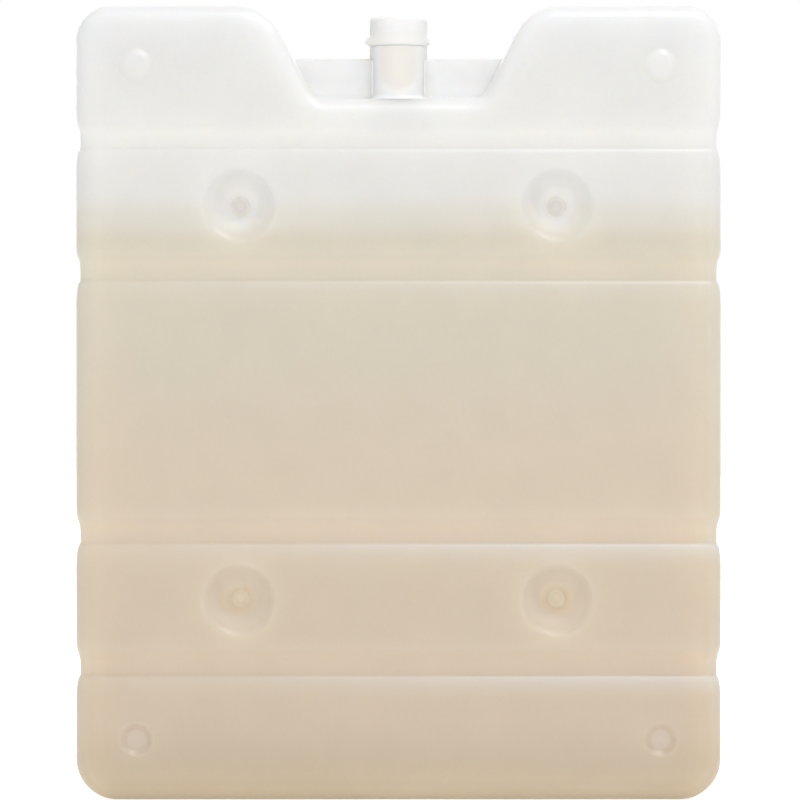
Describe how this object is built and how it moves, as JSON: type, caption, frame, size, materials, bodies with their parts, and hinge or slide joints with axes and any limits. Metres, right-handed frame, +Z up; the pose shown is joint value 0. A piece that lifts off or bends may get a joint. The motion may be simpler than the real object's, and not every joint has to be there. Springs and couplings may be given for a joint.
{
  "type": "ice pack",
  "caption": "Hard reusable ice pack for a cool box: a grooved blow-moulded plastic slab with a notched top, a plugged filler neck and liquid coolant inside.",
  "frame": {"origin": "middle of the base edge that the pack stands on, in the parting plane of the mould", "axes": "+Z up towards the filler neck, +X to the right across the width, -Y the front face"},
  "size_m": [0.2034, 0.0322, 0.2502],
  "materials": {
    "shell": "blow-moulded natural HDPE, milky and translucent, with a soft satin sheen",
    "plug": "injection-moulded natural HDPE, a little creamier than the shell",
    "coolant": "cream-coloured cloudy liquid, seen only through the shell"
  },
  "bodies": {
    "root": {"shell": "shell", "filler_plug": "plug", "coolant": "coolant"}
  },
  "joints": []
}
